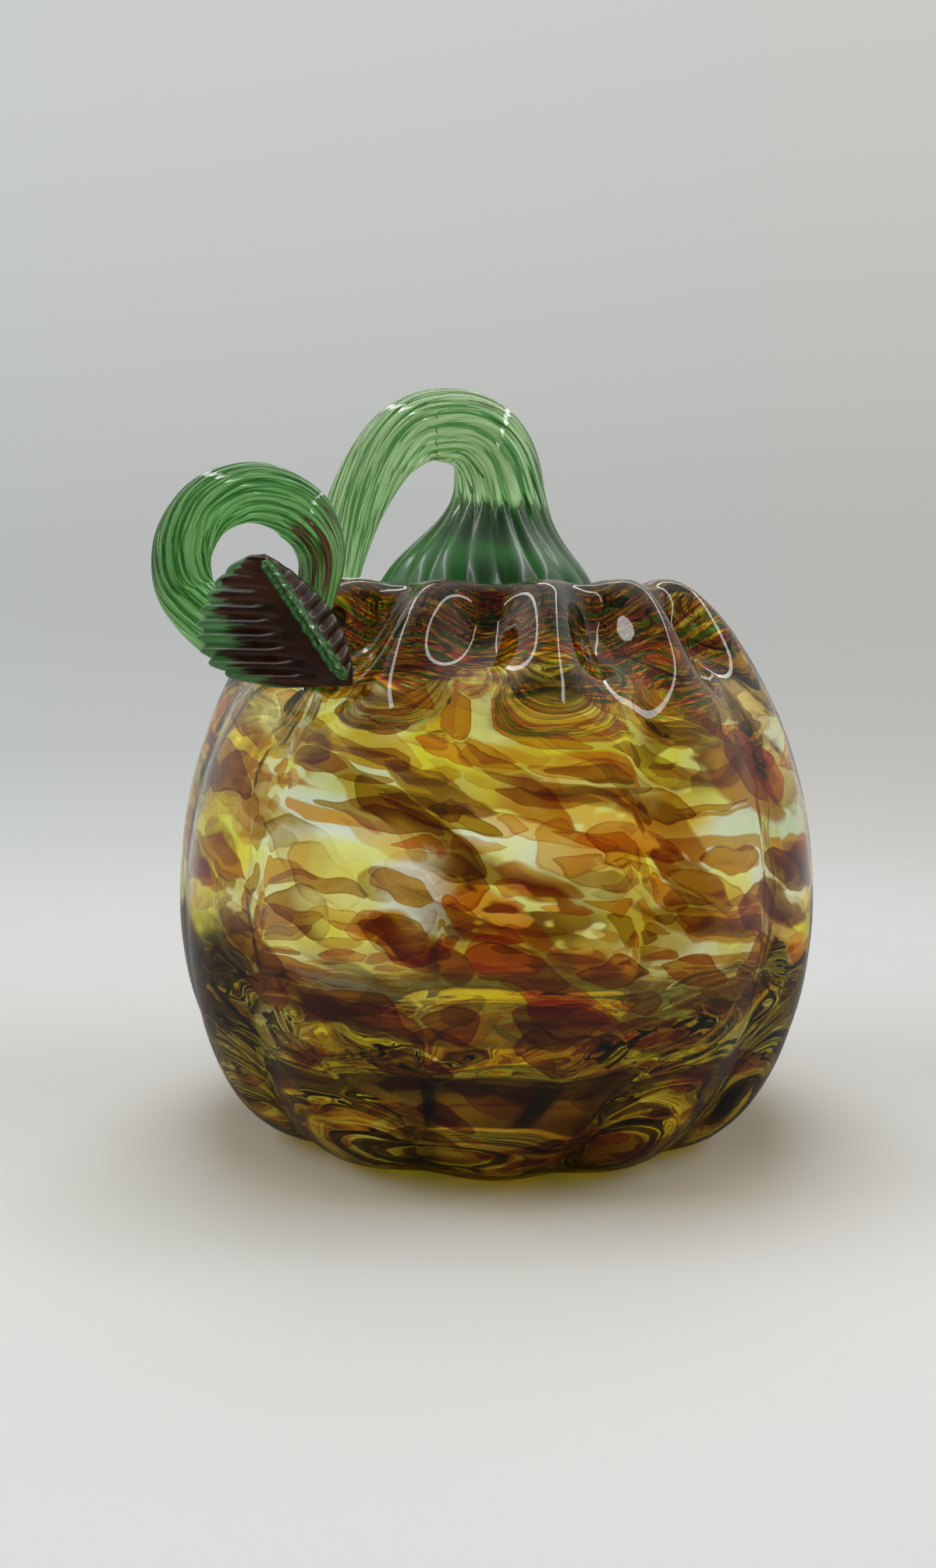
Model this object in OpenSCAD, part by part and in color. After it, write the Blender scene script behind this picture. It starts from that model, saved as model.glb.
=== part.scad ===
// Hand-blown glass pumpkin: hollow ribbed body, twisted cane stem, curled tendril and pressed leaf.
// The body's axis is Z and it stands on Z = 0. The front faces -Y, and angles turn from -Y toward +X.

/* [Body] */
// Widest diameter, over the ribs
body_d = 154.5; // [140:0.5:180]
// Height of the rib crests above the ground foot ring
body_h = 130; // [120:0.5:150]
// Height of the widest ring
waist_z = 53; // [45:0.5:62]
// Diameter of the ring of rib crests
crest_d = 82; // [76:0.5:92]
// Diameter of the round foot ring
foot_ring_d = 94; // [80:0.5:106]
// Depth ground off the foot ring to make it stand flat
grind = 0.8; // [0.6:0.05:1.2]
// Height of the hollow under the centre
kick = 5; // [3:0.25:8]
// Diameter of the polished spot under the centre
pontil_d = 24; // [18:0.5:30]

/* [Glass thickness] */
// Side wall at the widest ring
wall = 4.5; // [3.5:0.25:6.5]
// Roof under the stem's seat
roof = 8; // [6:0.25:11]
// Floor over the polished spot
floor_t = 7; // [5:0.25:10]

/* [Ribs] */
// Number of ribs round the body
rib_count = 12; // [8:1:16]
// Angle of the first fold at the waist
first_fold = -12; // [-20:0.5:20]
// Twist of the folds between foot and crest
rib_twist = 16; // [0:1:30]
// Uneven spacing of the folds, in degrees
rib_wander = 2.5; // [0:0.25:4]
// Roundness of the fold lines
crease = 0.18; // [0.05:0.01:0.5]
// Roundness of the dimples that the folds end in on the shoulder
dimple_round = 0.5; // [0.2:0.01:0.9]
// Width of the dimples against the ridges between them, 1 when even
dimple_wide = 1.5; // [1:0.05:2]
// Depth of the folds at the foot ring
fold_foot = 0.4; // [0.1:0.05:0.5]
// Depth of the folds low on the belly
fold_belly = 3.2; // [1:0.1:4]
// Depth of the folds at the waist
fold_waist = 1.6; // [0.5:0.1:3]
// Depth of the folds on the shoulder
fold_shoulder = 9.5; // [4:0.25:10]
// Depth of the folds at the crest
fold_crest = 1.25; // [1:0.25:5]

/* [Stem seat] */
// Flat margin round the stem's foot
seat_margin = 1.5; // [0.5:0.25:4]
// Depth of the seat below the rib crests
seat_drop = 4; // [3:0.25:7]
// Diameter of the neck hole that the stem closes
neck_d = 22; // [16:0.5:28]

/* [Stem] */
// Diameter of the stem's foot
foot_d = 53; // [46:0.5:58]
// Offset of the foot from the body's axis
foot_x = -3; // [-3.5:0.25:0]
// Cane diameter just above the foot's flare
stem_d = 24.8; // [20:0.2:28]
// Cane diameter at the top of the arch
arch_d = 17.4; // [14:0.2:20]
// Cane diameter at the end of the tail
tail_d = 13.2; // [10:0.2:15]
// Height of the arch's centreline above the seat
arch_h = 40.4; // [36:0.2:48]
// Offset of the arch's top from the body's axis
arch_x = -14.5; // [-18:0.25:-10]
// Angle where the tail lands on the ring of rib crests
tail_angle = -103; // [-115:1:-95]
// Length of the plug in the neck hole
plug_len = 4; // [2:0.25:6]

/* [Tendril] */
// Cane diameter
tendril_d = 13.4; // [11:0.2:14.4]
// Cane diameter at the end under the leaf
tendril_end_d = 7; // [5:0.2:8]
// Radius of the curl to the cane's centreline
curl_r = 16; // [14:0.25:18]
// Angle where the curl stands on the shoulder
curl_angle = -58.5; // [-64:0.5:-54]
// Height on the shoulder where the curl stands, 0 at the waist and 1 at the crest
curl_rise = 0.58; // [0.53:0.01:0.63]
// Advance of the curl toward the front over its turn
curl_pitch = 12; // [10:0.5:14]

/* [Leaf] */
// Length of the midrib
leaf_len = 31; // [28:0.5:34]
// Width of the half that faces the front
leaf_wide = 24; // [18:0.5:26]
// Width of the half that is folded back
leaf_narrow = 7; // [5:0.5:8]
// Thickness of the pressed glass
leaf_t = 3; // [2.5:0.1:4]
// Depth of the pressed ribs
leaf_rib = 1.2; // [0.4:0.1:1.5]
// Number of pressed ribs in each half
leaf_ribs = 9; // [6:1:11]
// Angle where the leaf's tip rests on the shoulder
leaf_angle = -30; // [-34:0.5:-26]
// Height on the shoulder where the tip rests, 0 at the waist and 1 at the crest
leaf_rise = 0.52; // [0.48:0.01:0.56]
// Diameter of the bead along the midrib
bead_d = 4.2; // [3.6:0.1:5.4]

/* [Fit] */
// Gap between curved pieces that are tacked together
tack_gap = 0.25; // [0.15:0.05:0.4]
// Gap round the plug in the neck hole
plug_gap = 0.2; // [0.1:0.05:0.4]
// Ribs round each cane
cane_ribs = 12; // [8:1:16]
// Depth of the cane's grooves as a share of its radius
cane_groove = 0.09; // [0:0.01:0.15]

/* [Hidden] */

waist_r = body_d / 2;
crest_r = crest_d / 2;
foot_ring_r = foot_ring_d / 2;
pontil_r = pontil_d / 2;
seat_r = foot_d / 2 + abs(foot_x) + seat_margin;
seat_z = body_h - seat_drop;
neck_r = neck_d / 2;

// Steps round and along each surface
steps_per_rib = 8;
steps_round = rib_count * steps_per_rib;
steps_under = 5;
steps_lower = 8;
steps_upper = 13;
steps_dip = 5;
steps_cavity = 7;
cane_round = cane_ribs * 4;
stem_steps = 44;
tendril_steps = 46;
leaf_steps = 40;
bead_steps = 20;

// Handle lengths of the body's curves, as shares of the span that they cross
round_share = 0.55;
belly_share = 0.62;
side_share = 0.52;
brow_share = 0.4;
roof_share = 0.78;

// Cubic curve through four points, and its direction
function bezier(p, t) =
    pow(1 - t, 3) * p[0] + 3 * pow(1 - t, 2) * t * p[1] + 3 * (1 - t) * t * t * p[2] + pow(t, 3) * p[3];
function bezier_slope(p, t) =
    pow(1 - t, 2) * (p[1] - p[0]) + 2 * (1 - t) * t * (p[2] - p[1]) + t * t * (p[3] - p[2]);
function unit(v) = v / norm(v);
function mix(a, b, t) = a + (b - a) * t;

// The body's outline as [radius, height]: 0 to 1 under the foot, 1 to 2 up to the waist,
// 2 to 3 up to the crest, 3 to 4 down to the stem's seat
outline = [
    [[pontil_r, kick], [mix(pontil_r, foot_ring_r, round_share), kick],
        [mix(foot_ring_r, pontil_r, round_share), -grind], [foot_ring_r, -grind]],
    [[foot_ring_r, -grind], [mix(foot_ring_r, waist_r, belly_share), -grind],
        [waist_r, mix(waist_z, -grind, round_share)], [waist_r, waist_z]],
    [[waist_r, waist_z], [waist_r, mix(waist_z, body_h, side_share)],
        [mix(crest_r, waist_r, brow_share), body_h], [crest_r, body_h]],
    [[crest_r, body_h], [mix(crest_r, seat_r, round_share), body_h],
        [mix(seat_r, crest_r, round_share), seat_z], [seat_r, seat_z]]
];
function part_of(s) = min(floor(s), len(outline) - 1);
function outline_at(s) = bezier(outline[part_of(s)], s - part_of(s));
function outline_normal(s) =
    let (d = unit(bezier_slope(outline[part_of(s)], s - part_of(s)))) [d.y, -d.x];

// Fold depth by place along the outline, and how far from a fold an angle lies: 0 in the fold, 1 on the rib
dimple_lip = 0.35;
dimple_brow = 0.85;
fold_depths = [[0, 0], [1, fold_foot], [1.4, fold_belly], [2, fold_waist], [2.46, fold_waist],
    [2.54, dimple_lip * fold_shoulder], [2.62, dimple_brow * fold_shoulder], [2.7, fold_shoulder],
    [2.82, dimple_brow * fold_shoulder], [3, fold_crest], [3.8, 0]];
fold_rounds = [[2.35, crease], [2.5, dimple_round]];
fold_widths = [[2.4, 1], [2.55, dimple_wide]];
wander_start = 60;
function rib_share(a, s) =
    let (turn = a - first_fold - rib_twist / 2 * (s - 2) - rib_wander * sin(2 * a + wander_start),
        wave = sin(rib_count / 2 * turn), soft = lookup(s, fold_rounds))
    pow((sqrt(wave * wave + soft * soft) - soft) / (sqrt(1 + soft * soft) - soft), lookup(s, fold_widths));

// A point on the outer skin, and the skin's outward direction there without its ribs
function around(a, p) = [p.x * sin(a), -p.x * cos(a), p.y];
function skin(a, s) =
    around(a, outline_at(s) - outline_normal(s) * lookup(s, fold_depths) * (1 - rib_share(a, s)));
function outward(a, s) = around(a, outline_normal(s));
// A point that stands off the ribs' highest line, so that no rib can reach it
function off_skin(a, s, gap) = around(a, outline_at(s) + outline_normal(s) * gap);

function ring_round(p) = [for (i = [0:steps_round - 1]) around(360 * i / steps_round, p)];
function skin_ring(s) = [for (i = [0:steps_round - 1]) skin(360 * i / steps_round, s)];

// The hollow inside, from the neck down to the floor
cavity_r = waist_r - wall;
cavity_top = seat_z - roof;
cavity_floor = kick + floor_t;
cavity_upper = [[neck_r, cavity_top], [mix(neck_r, cavity_r, roof_share), cavity_top],
    [cavity_r, mix(waist_z, cavity_top, round_share)], [cavity_r, waist_z]];
cavity_lower = [[cavity_r, waist_z], [cavity_r, mix(waist_z, cavity_floor, round_share)],
    [mix(pontil_r, cavity_r, belly_share), cavity_floor], [pontil_r, cavity_floor]];

// A closed solid through rings of points, with flat ends
module loft(rings) {
    n = len(rings[0]);
    last = len(rings) - 1;
    sides = [for (i = [0:last - 1], j = [0:n - 1])
        let (k = (j + 1) % n)
        each [[i * n + j, (i + 1) * n + j, (i + 1) * n + k], [i * n + j, (i + 1) * n + k, i * n + k]]];
    first_end = [for (j = [0:n - 1]) j];
    last_end = [for (j = [n - 1:-1:0]) last * n + j];
    polyhedron(points = [for (r = rings) each r], faces = concat([first_end, last_end], sides));
}

// One ring of a grooved cane round a point of its path, in the plane across its direction
function cane_ring(centre, direction, radius, twist) =
    let (side = unit(cross([0, 1, 0], direction)), up = cross(direction, side))
    [for (i = [0:cane_round - 1])
        let (a = 360 * i / cane_round,
            r = radius * (1 - cane_groove * (1 - abs(sin(cane_ribs / 2 * (a + twist))))))
        centre + r * (side * cos(a) + up * sin(a))];

// Path through points, as many steps as asked for, with each point weighed by its neighbours
function path_at(p, t) =
    let (n = len(p) - 1, i = min(floor(t * n), n - 1), f = t * n - i,
        a = p[max(i - 1, 0)], b = p[i], c = p[i + 1], d = p[min(i + 2, n)])
    bezier([b, b + (c - a) / 6, c - (d - b) / 6, c], f);
function path_slope(p, t) =
    let (h = 0.002) unit(path_at(p, min(t + h, 1)) - path_at(p, max(t - h, 0)));

// Stem: rises from its foot to the arch's top, then falls to the ring of rib crests
tail_end = off_skin(tail_angle, 3, tack_gap);
arch_top = [arch_x, tail_end.y / 4, seat_z + arch_h];
stem_lean = 5.5;
arch_bow = 17.5;
tail_bow = 12.5;
tail_swing = 3.9;
stem_pull = 0.62;
tail_pull = 0.44;
stem_rise = [[foot_x, 0, seat_z], [foot_x + stem_lean, 0, seat_z + stem_pull * arch_h],
    arch_top + [arch_bow, -tail_end.y / 4, 0], arch_top];
stem_fall = [arch_top, arch_top + [-tail_bow, tail_end.y / 4, 0],
    tail_end + [tail_swing, 0, tail_pull * arch_h], tail_end];
flare_share = 0.2;
stem_twist = 120;
function stem_r(t) =
    t < 1 ? mix(stem_d, arch_d, t) / 2 + (foot_d - stem_d) / 2 * exp(-pow(t / flare_share, 2))
    : mix(arch_d, tail_d, t - 1) / 2;
// Both ends of the stem are cut level, so its rings turn upright toward them
upright_share = 0.3;
function stem_way(t) =
    let (p = t < 1 ? stem_rise : stem_fall, f = t < 1 ? t : t - 1,
        end = min(t, 2 - t), level = max(1 - end / upright_share, 0))
    unit(mix(unit(bezier_slope(p, f)), [0, 0, t < 1 ? 1 : -1], level));
function stem_ring(t) =
    let (centre = t < 1 ? bezier(stem_rise, t) : bezier(stem_fall, t - 1))
    cane_ring(centre, stem_way(t), stem_r(t), stem_twist * t / 2);

// Tendril: starts on the shoulder behind the leaf and turns once round the curl
tendril_r = tendril_d / 2;
curl_foot = off_skin(curl_angle, 2 + curl_rise, tendril_r + tack_gap);
curl_lean = 2.6;
curl_centre = curl_foot + [curl_lean, 0, curl_r];
start_angle = curl_angle + 2;
start_rise = curl_rise + 0.1;
start_sag = 1.8;
tendril_start = off_skin(start_angle, 2 + start_rise, tendril_r + tack_gap + start_sag);
curl_from = 205;
curl_to = 5;
curl_steps = 5;
function curl_point(i) =
    let (f = i / curl_steps, a = mix(curl_from, curl_to, f))
    curl_centre + [curl_r * cos(a), curl_pitch * (0.5 - f), curl_r * sin(a)];

// Leaf: a ridge from the tip on the shoulder up across the curl, one half to the front and one folded back
front_tilt = 15;
back_tilt = 42;
front_sweep = 0.6;
leaf_rest = skin(leaf_angle, 2 + leaf_rise) + outward(leaf_angle, 2 + leaf_rise) * tack_gap;
tip_lift = 0.4;
leaf_tip = leaf_rest + [0, -leaf_t - tip_lift, 0];
leaf_front = curl_pitch / 2 + tendril_r + tack_gap + leaf_t + leaf_narrow * sin(back_tilt);
leaf_top_side = 4.5;
leaf_top_up = 3;
leaf_top = curl_centre + [leaf_top_side, -leaf_front, leaf_top_up];
leaf_along = unit(leaf_top - leaf_tip);
leaf_out = unit(cross(cross(leaf_along, [0, -1, 0]), leaf_along));
leaf_side = cross(leaf_along, leaf_out);
front_way = leaf_along * front_sweep - leaf_side * cos(front_tilt) - leaf_out * sin(front_tilt);
back_way = leaf_side * cos(back_tilt) - leaf_out * sin(back_tilt);
leaf_end = 1.08;
tooth = 0.06;
flat_share = 0.2;
ramp_share = 0.25;
rib_slant = 0.05;
front_skew = 0.5;
back_skew = 0.9;
front_fullness = 0.58;
back_fullness = 0.8;
function leaf_half(u, w) =
    let (skew = w > 0 ? front_skew : back_skew, fullness = w > 0 ? front_fullness : back_fullness)
    pow(max(sin(180 * pow(u / leaf_end, skew)), 0), fullness);
function leaf_point(u, w) =
    let (ridges = abs(sin(180 * leaf_ribs * (u - rib_slant * abs(w)))),
        span = leaf_half(u, w) * (1 - tooth * (1 - ridges)) * abs(w),
        ramp = min(max((abs(w) - flat_share) / ramp_share, 0), 1),
        press = leaf_rib * (1 - ridges) * ramp * leaf_half(u, w))
    leaf_tip + leaf_along * leaf_len * u + span * (w > 0 ? leaf_wide * front_way : leaf_narrow * back_way)
        - leaf_out * press;
leaf_weights = [-1, -0.7, -0.4, -flat_share, 0, flat_share, 0.4, 0.6, 0.8, 1];
leaf_first = 0.01;
leaf_last = leaf_end - leaf_first;
function leaf_ring(u) = concat(
    [for (i = [len(leaf_weights) - 1:-1:0]) leaf_point(u, leaf_weights[i])],
    [for (w = leaf_weights) leaf_point(u, w) - leaf_out * leaf_t]);

// Bead: a round cap that sits astride the leaf's ridge
bead_arc = 10;
bead_first = 0.06;
bead_last = 1.02;
bead_taper = 0.85;
bead_height = 1.1;
function bead_ring(u) =
    let (r = bead_d / 2 * mix(bead_taper, 1, u),
        seat = leaf_tip + leaf_along * leaf_len * u + leaf_out * tack_gap,
        left = front_way * r, right = back_way * r)
    concat([seat], [for (i = [0:bead_arc])
        let (a = 180 * i / bead_arc, f = (1 - cos(a)) / 2)
        seat + mix(left, right, f) + leaf_out * r * bead_height * sin(a)]);

// The tendril ends in the leaf's fold
end_share = 0.5;
end_room = 3;
end_depth = 3.7;
tendril_end = leaf_tip + leaf_len * end_share * leaf_along - leaf_side * end_room
    - leaf_out * (tendril_end_d / 2 + leaf_t + end_depth);
tendril_path = concat([tendril_start, curl_foot], [for (i = [0:curl_steps]) curl_point(i)], [tendril_end]);
tendril_twist = 200;
taper_from = 0.76;
function tendril_radius(t) =
    t < taper_from ? tendril_r : mix(tendril_r, tendril_end_d / 2, (t - taper_from) / (1 - taper_from));

module body() {
    color([0.80, 0.55, 0.22, 0.8])
        difference() {
            loft(concat(
                [for (i = [0:steps_under - 1]) skin_ring(i / steps_under)],
                [for (i = [0:steps_lower - 1]) skin_ring(1 + i / steps_lower)],
                [for (i = [0:steps_upper - 1]) skin_ring(2 + i / steps_upper)],
                [for (i = [0:steps_dip]) skin_ring(3 + i / steps_dip)],
                [ring_round([neck_r, seat_z])],
                [for (i = [0:steps_cavity - 1]) ring_round(bezier(cavity_upper, i / steps_cavity))],
                [for (i = [0:steps_cavity]) ring_round(bezier(cavity_lower, i / steps_cavity))]));
            // Ground flat that the body stands on
            translate([0, 0, -2 * grind])
                cylinder(r = waist_r, h = 2 * grind, $fn = 96);
        }
}

module stem() {
    plug_r = neck_r - plug_gap;
    color([0.36, 0.47, 0.14])
        loft(concat(
            [for (z = [seat_z - plug_len, seat_z])
                [for (p = cane_ring([0, 0, z], [0, 0, 1], 1, 0)) [0, 0, z] + plug_r * unit(p - [0, 0, z])]],
            [for (i = [0:stem_steps]) stem_ring(2 * i / stem_steps)]));
}

module tendril() {
    color([0.28, 0.42, 0.14])
        loft([for (i = [0:tendril_steps])
            let (t = i / tendril_steps, centre = path_at(tendril_path, t))
            cane_ring(centre, path_slope(tendril_path, t), tendril_radius(t), tendril_twist * t)]);
}

module leaf() {
    color([0.36, 0.20, 0.09])
        loft([for (i = [0:leaf_steps]) leaf_ring(mix(leaf_first, leaf_last, i / leaf_steps))]);
}

module leaf_bead() {
    color([0.45, 0.62, 0.16])
        loft([for (i = [0:bead_steps]) bead_ring(mix(bead_first, bead_last, i / bead_steps))]);
}

body();
stem();
tendril();
leaf();
leaf_bead();
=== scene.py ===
import math

import bpy
import numpy as np
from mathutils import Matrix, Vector, noise


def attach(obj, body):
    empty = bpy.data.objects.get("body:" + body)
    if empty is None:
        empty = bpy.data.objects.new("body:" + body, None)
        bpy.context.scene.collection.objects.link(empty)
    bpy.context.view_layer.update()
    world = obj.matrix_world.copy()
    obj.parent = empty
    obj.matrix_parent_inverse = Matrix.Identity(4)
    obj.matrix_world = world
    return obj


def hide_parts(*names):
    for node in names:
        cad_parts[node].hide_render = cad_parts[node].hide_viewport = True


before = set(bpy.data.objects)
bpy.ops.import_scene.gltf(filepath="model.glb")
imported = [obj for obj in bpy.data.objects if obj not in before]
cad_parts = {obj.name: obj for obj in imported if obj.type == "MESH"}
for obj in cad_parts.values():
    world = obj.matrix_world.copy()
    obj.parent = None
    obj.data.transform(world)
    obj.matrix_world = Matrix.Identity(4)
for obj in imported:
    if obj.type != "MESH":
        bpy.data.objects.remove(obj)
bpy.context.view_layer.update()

mm = 0.001
mergeGap = 2e-6   # metres
glassIor = 1.5


def mix(a, b, t):
    return a + (b - a) * t


def smoothStep(x, low, high):
    t = np.clip((x - low) / (high - low), 0, 1)
    return t * t * (3 - 2 * t)


def domed(x, power=2):
    return np.sqrt(np.maximum(1 - np.abs(x) ** power, 0))   # 1 in the middle, 0 at both ends


def bezier(p, t):
    t = np.asarray(t, float)[..., None]
    p = np.asarray(p, float)
    return (1 - t) ** 3 * p[0] + 3 * (1 - t) ** 2 * t * p[1] + 3 * (1 - t) * t * t * p[2] + t ** 3 * p[3]


def bezierSlope(p, t):
    t = np.asarray(t, float)[..., None]
    p = np.asarray(p, float)
    return (1 - t) ** 2 * (p[1] - p[0]) + 2 * (1 - t) * t * (p[2] - p[1]) + t * t * (p[3] - p[2])


def unit(v):
    v = np.asarray(v, float)
    return v / np.linalg.norm(v, axis=-1, keepdims=True)


def startPiece():
    if bpy.context.mode != "OBJECT":
        bpy.ops.object.mode_set(mode="OBJECT")
    bpy.ops.object.select_all(action="DESELECT")


def editAll():
    bpy.ops.object.mode_set(mode="EDIT")
    bpy.ops.mesh.select_all(action="SELECT")


def readPlaces(piece):
    places = np.zeros(len(piece.data.vertices) * 3)
    piece.data.vertices.foreach_get("co", places)
    return places.reshape(-1, 3)


def writePlaces(piece, places):
    piece.data.vertices.foreach_set("co", np.asarray(places, float).ravel())
    piece.data.update()


def closeMesh():
    editAll()
    bpy.ops.mesh.remove_doubles(threshold=mergeGap)
    bpy.ops.mesh.select_all(action="SELECT")
    bpy.ops.mesh.normals_make_consistent(inside=False)
    bpy.ops.object.mode_set(mode="OBJECT")
    bpy.ops.object.shade_smooth()


def wrapGrid(name, across, along, place):
    # a flat grid is rolled up into the piece, and keeps its map for the grain that follows the cane
    startPiece()
    bpy.ops.mesh.primitive_grid_add(x_subdivisions=across, y_subdivisions=along, size=1)
    piece = bpy.context.object
    piece.name = piece.data.name = name
    flat = readPlaces(piece)
    writePlaces(piece, place(flat[:, 0] + 0.5, flat[:, 1] + 0.5) * mm)
    closeMesh()
    return piece


# body: hollow, blown and ribbed, all lengths in millimetres and angles in degrees
bodyForm = {
    "diameter": 154.5, "height": 130, "waistHeight": 53, "crestDiameter": 82,
    "footRing": 94, "grind": 0.8, "kick": 5, "polishedSpot": 24,
    "wall": 4.5, "roof": 8, "floor": 7,
    "seatRadius": 31, "seatHeight": 126, "neckRadius": 11,
    # handle lengths of the outline's curves, as shares of the span that they cross
    "roundShare": 0.55, "bellyShare": 0.62, "sideShare": 0.52, "browShare": 0.4, "roofShare": 0.78,
    "ribs": 12, "firstFold": -12, "ribTwist": 16, "ribWander": 2.5, "wanderStart": 60,
    "softAt": [2.35, 2.5], "softness": [0.18, 0.5], "dimpleAt": [2.4, 2.55], "dimpleWide": [1, 1.5],
    "foldAt": [0, 1, 1.4, 2, 2.46, 2.54, 2.62, 2.7, 2.82, 3, 3.8, 4],
    "foldDepth": [0, 0.4, 3.2, 1.6, 1.6, 3.3, 8.1, 9.5, 8.1, 1.25, 0, 0],
    "foldSteps": 801, "blurReach": 30, "blurWidth": 6,
    "columns": 384, "curveSteps": 22, "tableSteps": 200,
    "innerFold": 0.35, "innerFoldFrom": (30, 60),
    "handWave": 0.22, "innerWave": 1.6, "waveScale": 0.045, "fineScale": 0.11, "fineShare": 0.5,
    "waveFrom": (20, 50), "stillBelow": 3, "floorBelow": 20,
    "climb": [0, 47, 115, 207, 221],
}
waist = bodyForm["diameter"] / 2
crest = bodyForm["crestDiameter"] / 2
ringRadius = bodyForm["footRing"] / 2
spot = bodyForm["polishedSpot"] / 2
top, kick, grind = bodyForm["height"], bodyForm["kick"], bodyForm["grind"]
waistZ, seat, seatZ = bodyForm["waistHeight"], bodyForm["seatRadius"], bodyForm["seatHeight"]
roundShare, bellyShare = bodyForm["roundShare"], bodyForm["bellyShare"]
# from the polished spot to the foot ring, the waist, the crest and the stem's seat
outline = [
    [[spot, kick], [mix(spot, ringRadius, roundShare), kick],
     [mix(ringRadius, spot, roundShare), -grind], [ringRadius, -grind]],
    [[ringRadius, -grind], [mix(ringRadius, waist, bellyShare), -grind],
     [waist, mix(waistZ, -grind, roundShare)], [waist, waistZ]],
    [[waist, waistZ], [waist, mix(waistZ, top, bodyForm["sideShare"])],
     [mix(crest, waist, bodyForm["browShare"]), top], [crest, top]],
    [[crest, top], [mix(crest, seat, roundShare), top],
     [mix(seat, crest, roundShare), seatZ], [seat, seatZ]],
]
atWaist, atCrest, atSeat = 2, 3, 4   # places along the outline


def outlineAt(s, curve=bezier):
    s = np.asarray(s, float)
    part = np.clip(np.floor(s), 0, len(outline) - 1)
    found = np.zeros(s.shape + (2,))
    for i, points in enumerate(outline):
        here = part == i
        found[here] = curve(points, (s - i)[here])
    return found


def outlineNormal(s):
    slope = unit(outlineAt(s, bezierSlope))
    return np.stack([slope[..., 1], -slope[..., 0]], -1)


blurReach = bodyForm["blurReach"]
foldPlaces = np.linspace(0, atSeat, bodyForm["foldSteps"])
foldBlur = np.exp(-0.5 * (np.arange(-blurReach, blurReach + 1) / bodyForm["blurWidth"]) ** 2)
sharpDepths = np.interp(foldPlaces, bodyForm["foldAt"], bodyForm["foldDepth"])
foldDepths = np.convolve(np.pad(sharpDepths, blurReach, mode="edge"), foldBlur / foldBlur.sum(), mode="valid")


def foldDepth(s):
    return np.interp(s, foldPlaces, foldDepths)


def ribShare(angle, s):
    # 0 in a fold, 1 on the rib between two folds
    f = bodyForm
    wander = f["ribWander"] * np.sin(np.radians(2 * angle + f["wanderStart"]))
    turn = angle - f["firstFold"] - f["ribTwist"] / 2 * (s - atWaist) - wander
    wave = np.sin(np.radians(f["ribs"] / 2 * turn))
    soft = np.interp(s, f["softAt"], f["softness"])
    share = (np.sqrt(wave ** 2 + soft ** 2) - soft) / (np.sqrt(1 + soft ** 2) - soft)
    return share ** np.interp(s, f["dimpleAt"], f["dimpleWide"])


def around(angle, flat):
    a = np.radians(angle)
    return np.stack([flat[..., 0] * np.sin(a), -flat[..., 0] * np.cos(a), flat[..., 1]], -1)


def skin(angle, s):
    depth = foldDepth(s) * (1 - ribShare(angle, s))
    return around(angle, outlineAt(s) - outlineNormal(s) * depth[..., None])


def offSkin(angle, s, gap):
    s = np.asarray(float(s))
    return around(angle, outlineAt(s) + outlineNormal(s) * gap)


def bodyProfile():
    # half of the section: each curve's ends and handles, and the stretch of the outline that it is, or None
    f = bodyForm
    inner, ceiling, floor = waist - f["wall"], seatZ - f["roof"], kick + f["floor"]
    neck = f["neckRadius"]

    def straight(a, b):
        a, b = np.array(a, float), np.array(b, float)
        return [a, mix(a, b, 1 / 3), mix(a, b, 2 / 3), b]

    def halves(p):
        p = [np.array(q, float) for q in p]
        a, b, c = (p[0] + p[1]) / 2, (p[1] + p[2]) / 2, (p[2] + p[3]) / 2
        d, e = (a + b) / 2, (b + c) / 2
        m = (d + e) / 2
        return [p[0], a, d, m], [m, e, c, p[3]]

    low, high = halves(outline[2])
    upper = [[neck, ceiling], [mix(neck, inner, f["roofShare"]), ceiling],
             [inner, mix(waistZ, ceiling, roundShare)], [inner, waistZ]]
    lower = [[inner, waistZ], [inner, mix(waistZ, floor, roundShare)],
             [mix(spot, inner, bellyShare), floor], [spot, floor]]
    return [
        (straight([0, kick], [spot, kick]), None), (outline[0], (0, 1)), (outline[1], (1, 2)),
        (low, (2, 2.5)), (high, (2.5, 3)), (outline[3], (3, 4)),
        (straight([seat, seatZ], [neck, seatZ]), None), (straight([neck, seatZ], [neck, ceiling]), None),
        *[(half, None) for wall in (upper, lower) for half in halves(wall)],
        (straight([spot, floor], [0, floor]), None),
    ]


seatCurve, firstInner = 6, 8   # in bodyProfile's order


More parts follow.
